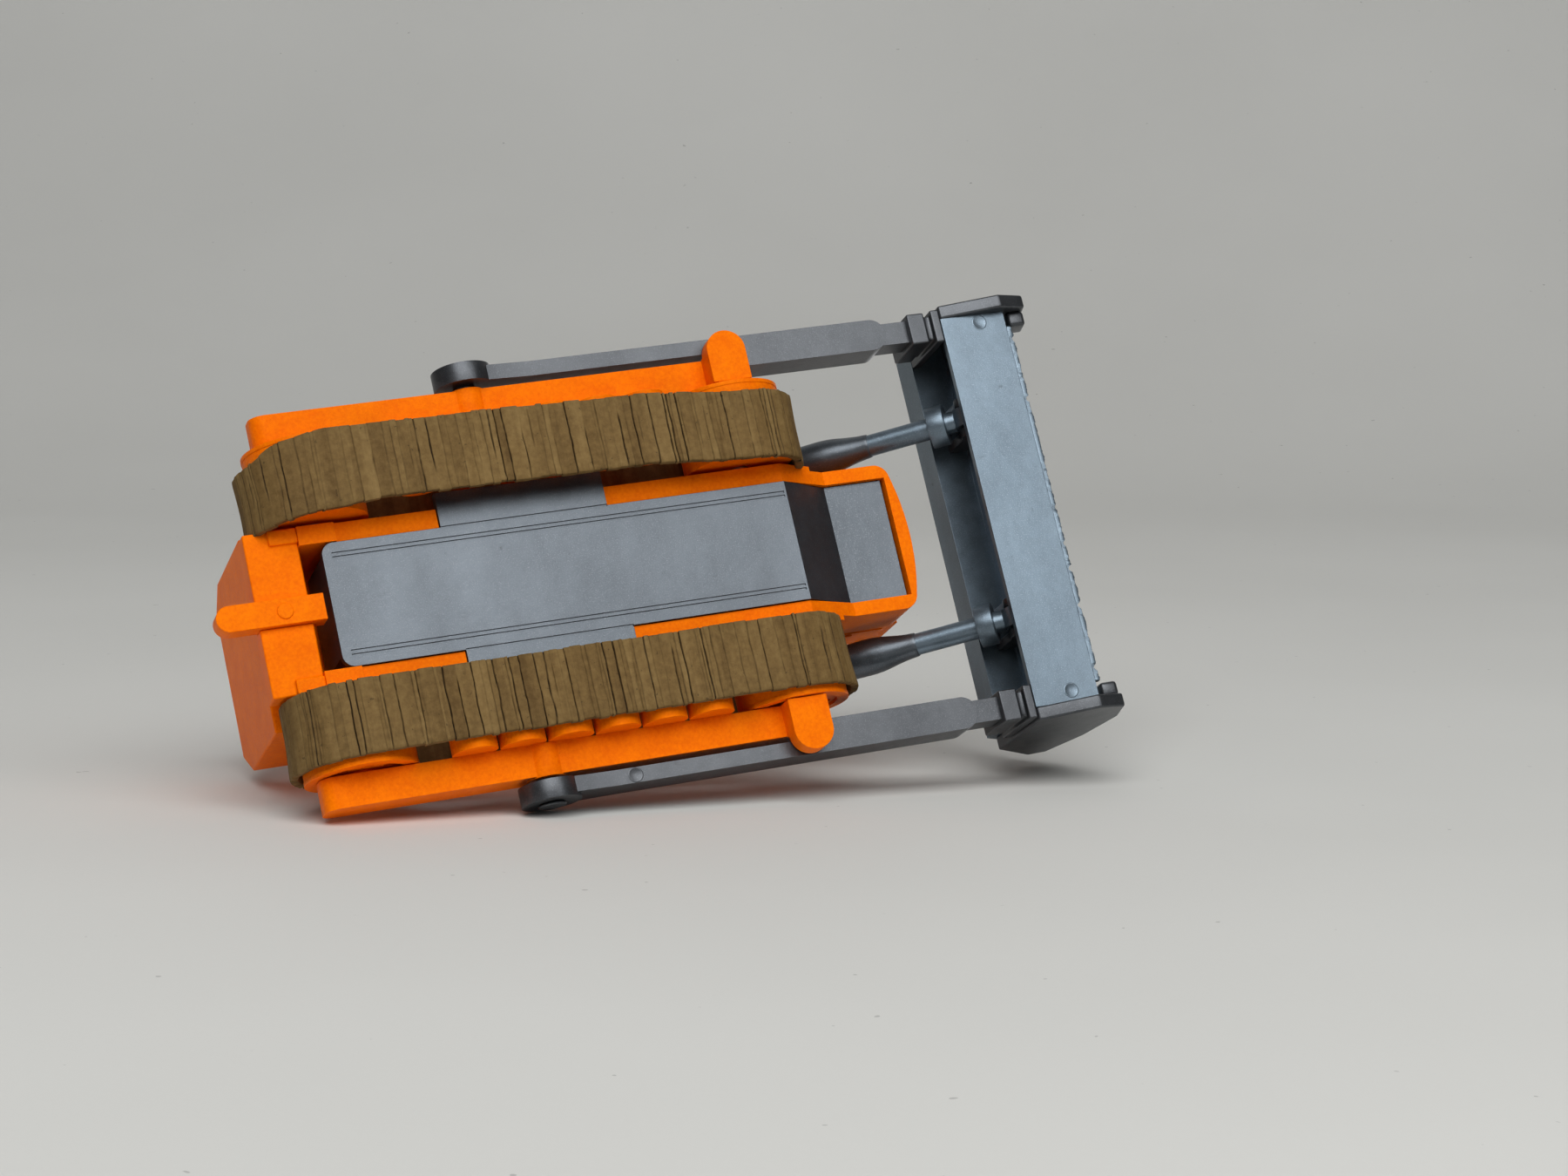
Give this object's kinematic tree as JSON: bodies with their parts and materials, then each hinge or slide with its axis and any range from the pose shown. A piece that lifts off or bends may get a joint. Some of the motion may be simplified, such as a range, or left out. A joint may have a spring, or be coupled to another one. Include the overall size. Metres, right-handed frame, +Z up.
{
  "type": "toy bulldozer",
  "caption": "Small-scale model of a crawler bulldozer with a wide front blade on push arms, rubber tracks, lift cylinders and an open driver's place.",
  "frame": {"origin": "on the ground, below the middle of the model's bounding box", "axes": "+X forward towards the blade, +Y to the model's left, +Z up"},
  "size_m": [0.0756, 0.038, 0.0286],
  "materials": {
    "orange_plastic": "bright orange moulded plastic with a fine satin texture",
    "silver_plastic": "silver-grey moulded plastic with fine metallic flow marks",
    "rubber_belt": "dull olive-brown rubber with fine uneven cross ribs",
    "steel": "plain drawn pin",
    "black_plastic": "dull black moulded plastic"
  },
  "bodies": {
    "hull": {"hull_tub": "orange_plastic", "rear_crossbar": "orange_plastic", "hitch_tongue": "orange_plastic", "engine_hood": "orange_plastic", "operator_deck": "orange_plastic", "cowl": "orange_plastic", "fuel_tank": "orange_plastic", "track_frame_left": "orange_plastic", "track_frame_right": "orange_plastic", "track_rollers_left": "orange_plastic", "track_rollers_right": "orange_plastic", "belly_pan": "silver_plastic", "exhaust_stack": "silver_plastic", "arm_pin_left": "silver_plastic", "arm_pin_right": "silver_plastic", "cylinder_pin_left": "silver_plastic", "cylinder_pin_right": "silver_plastic", "track_belt_left": "rubber_belt", "track_belt_right": "rubber_belt", "front_axle": "steel", "rear_axle": "steel", "radiator_grille": "black_plastic", "air_cleaner": "black_plastic", "fuel_cap": "black_plastic", "operator_seat": "black_plastic", "control_levers": "black_plastic"},
    "push_frame": {"push_arm_left": "silver_plastic", "push_arm_right": "silver_plastic", "arm_knuckle_left": "silver_plastic", "arm_knuckle_right": "silver_plastic", "blade_shell": "silver_plastic", "cutting_edge": "silver_plastic", "end_plate_left": "silver_plastic", "end_plate_right": "silver_plastic", "corner_bit_left": "silver_plastic", "corner_bit_right": "silver_plastic", "rod_lugs_left": "silver_plastic", "rod_lugs_right": "silver_plastic", "rod_pin_left": "steel", "rod_pin_right": "steel"},
    "rear_wheel_left": {"sprocket_left": "orange_plastic"},
    "front_wheel_left": {"idler_left": "orange_plastic"},
    "cylinder_left": {"lift_barrel_left": "silver_plastic"},
    "piston_left": {"lift_rod_left": "silver_plastic"},
    "rear_wheel_right": {"sprocket_right": "orange_plastic"},
    "front_wheel_right": {"idler_right": "orange_plastic"},
    "cylinder_right": {"lift_barrel_right": "silver_plastic"},
    "piston_right": {"lift_rod_right": "silver_plastic"}
  },
  "joints": [
    {"name": "blade_lift", "type": "hinge", "parent": "hull", "child": "push_frame", "pos_m": [-0.0136, 0, 0.0046], "axis": [0, -1, 0], "range_deg": [0, 10]},
    {"name": "front_wheel_left_spin", "type": "hinge", "parent": "hull", "child": "front_wheel_left", "pos_m": [0.0088, 0, 0.0056], "axis": [0, 1, 0], "continuous": true},
    {"name": "rear_wheel_left_spin", "type": "hinge", "parent": "hull", "child": "rear_wheel_left", "pos_m": [-0.0282, 0, 0.0056], "axis": [0, 1, 0], "continuous": true},
    {"name": "cylinder_left_tilt", "type": "hinge", "parent": "hull", "child": "cylinder_left", "pos_m": [0.012, 0, 0.0159], "axis": [0, -1, 0], "range_deg": [0, 20.27]},
    {"name": "piston_left_slide", "type": "slide", "parent": "cylinder_left", "child": "piston_left", "axis": [0.8668, 0, -0.4986], "range_m": [-0.00339, 0]},
    {"name": "front_wheel_right_spin", "type": "hinge", "parent": "hull", "child": "front_wheel_right", "pos_m": [0.0088, 0, 0.0056], "axis": [0, 1, 0], "continuous": true},
    {"name": "rear_wheel_right_spin", "type": "hinge", "parent": "hull", "child": "rear_wheel_right", "pos_m": [-0.0282, 0, 0.0056], "axis": [0, 1, 0], "continuous": true},
    {"name": "cylinder_right_tilt", "type": "hinge", "parent": "hull", "child": "cylinder_right", "pos_m": [0.012, 0, 0.0159], "axis": [0, -1, 0], "range_deg": [0, 20.27]},
    {"name": "piston_right_slide", "type": "slide", "parent": "cylinder_right", "child": "piston_right", "axis": [0.8668, 0, -0.4986], "range_m": [-0.00339, 0]}
  ],
  "couplings": [
    {"joint": "rear_wheel_left_spin", "follows": "front_wheel_left_spin", "ratio": 1},
    {"joint": "cylinder_left_tilt", "follows": "blade_lift", "ratio": 2.0251},
    {"joint": "piston_left_slide", "follows": "blade_lift", "m_per_rad": -0.019351},
    {"joint": "rear_wheel_right_spin", "follows": "front_wheel_right_spin", "ratio": 1},
    {"joint": "cylinder_right_tilt", "follows": "blade_lift", "ratio": 2.0251},
    {"joint": "piston_right_slide", "follows": "blade_lift", "m_per_rad": -0.019351}
  ]
}
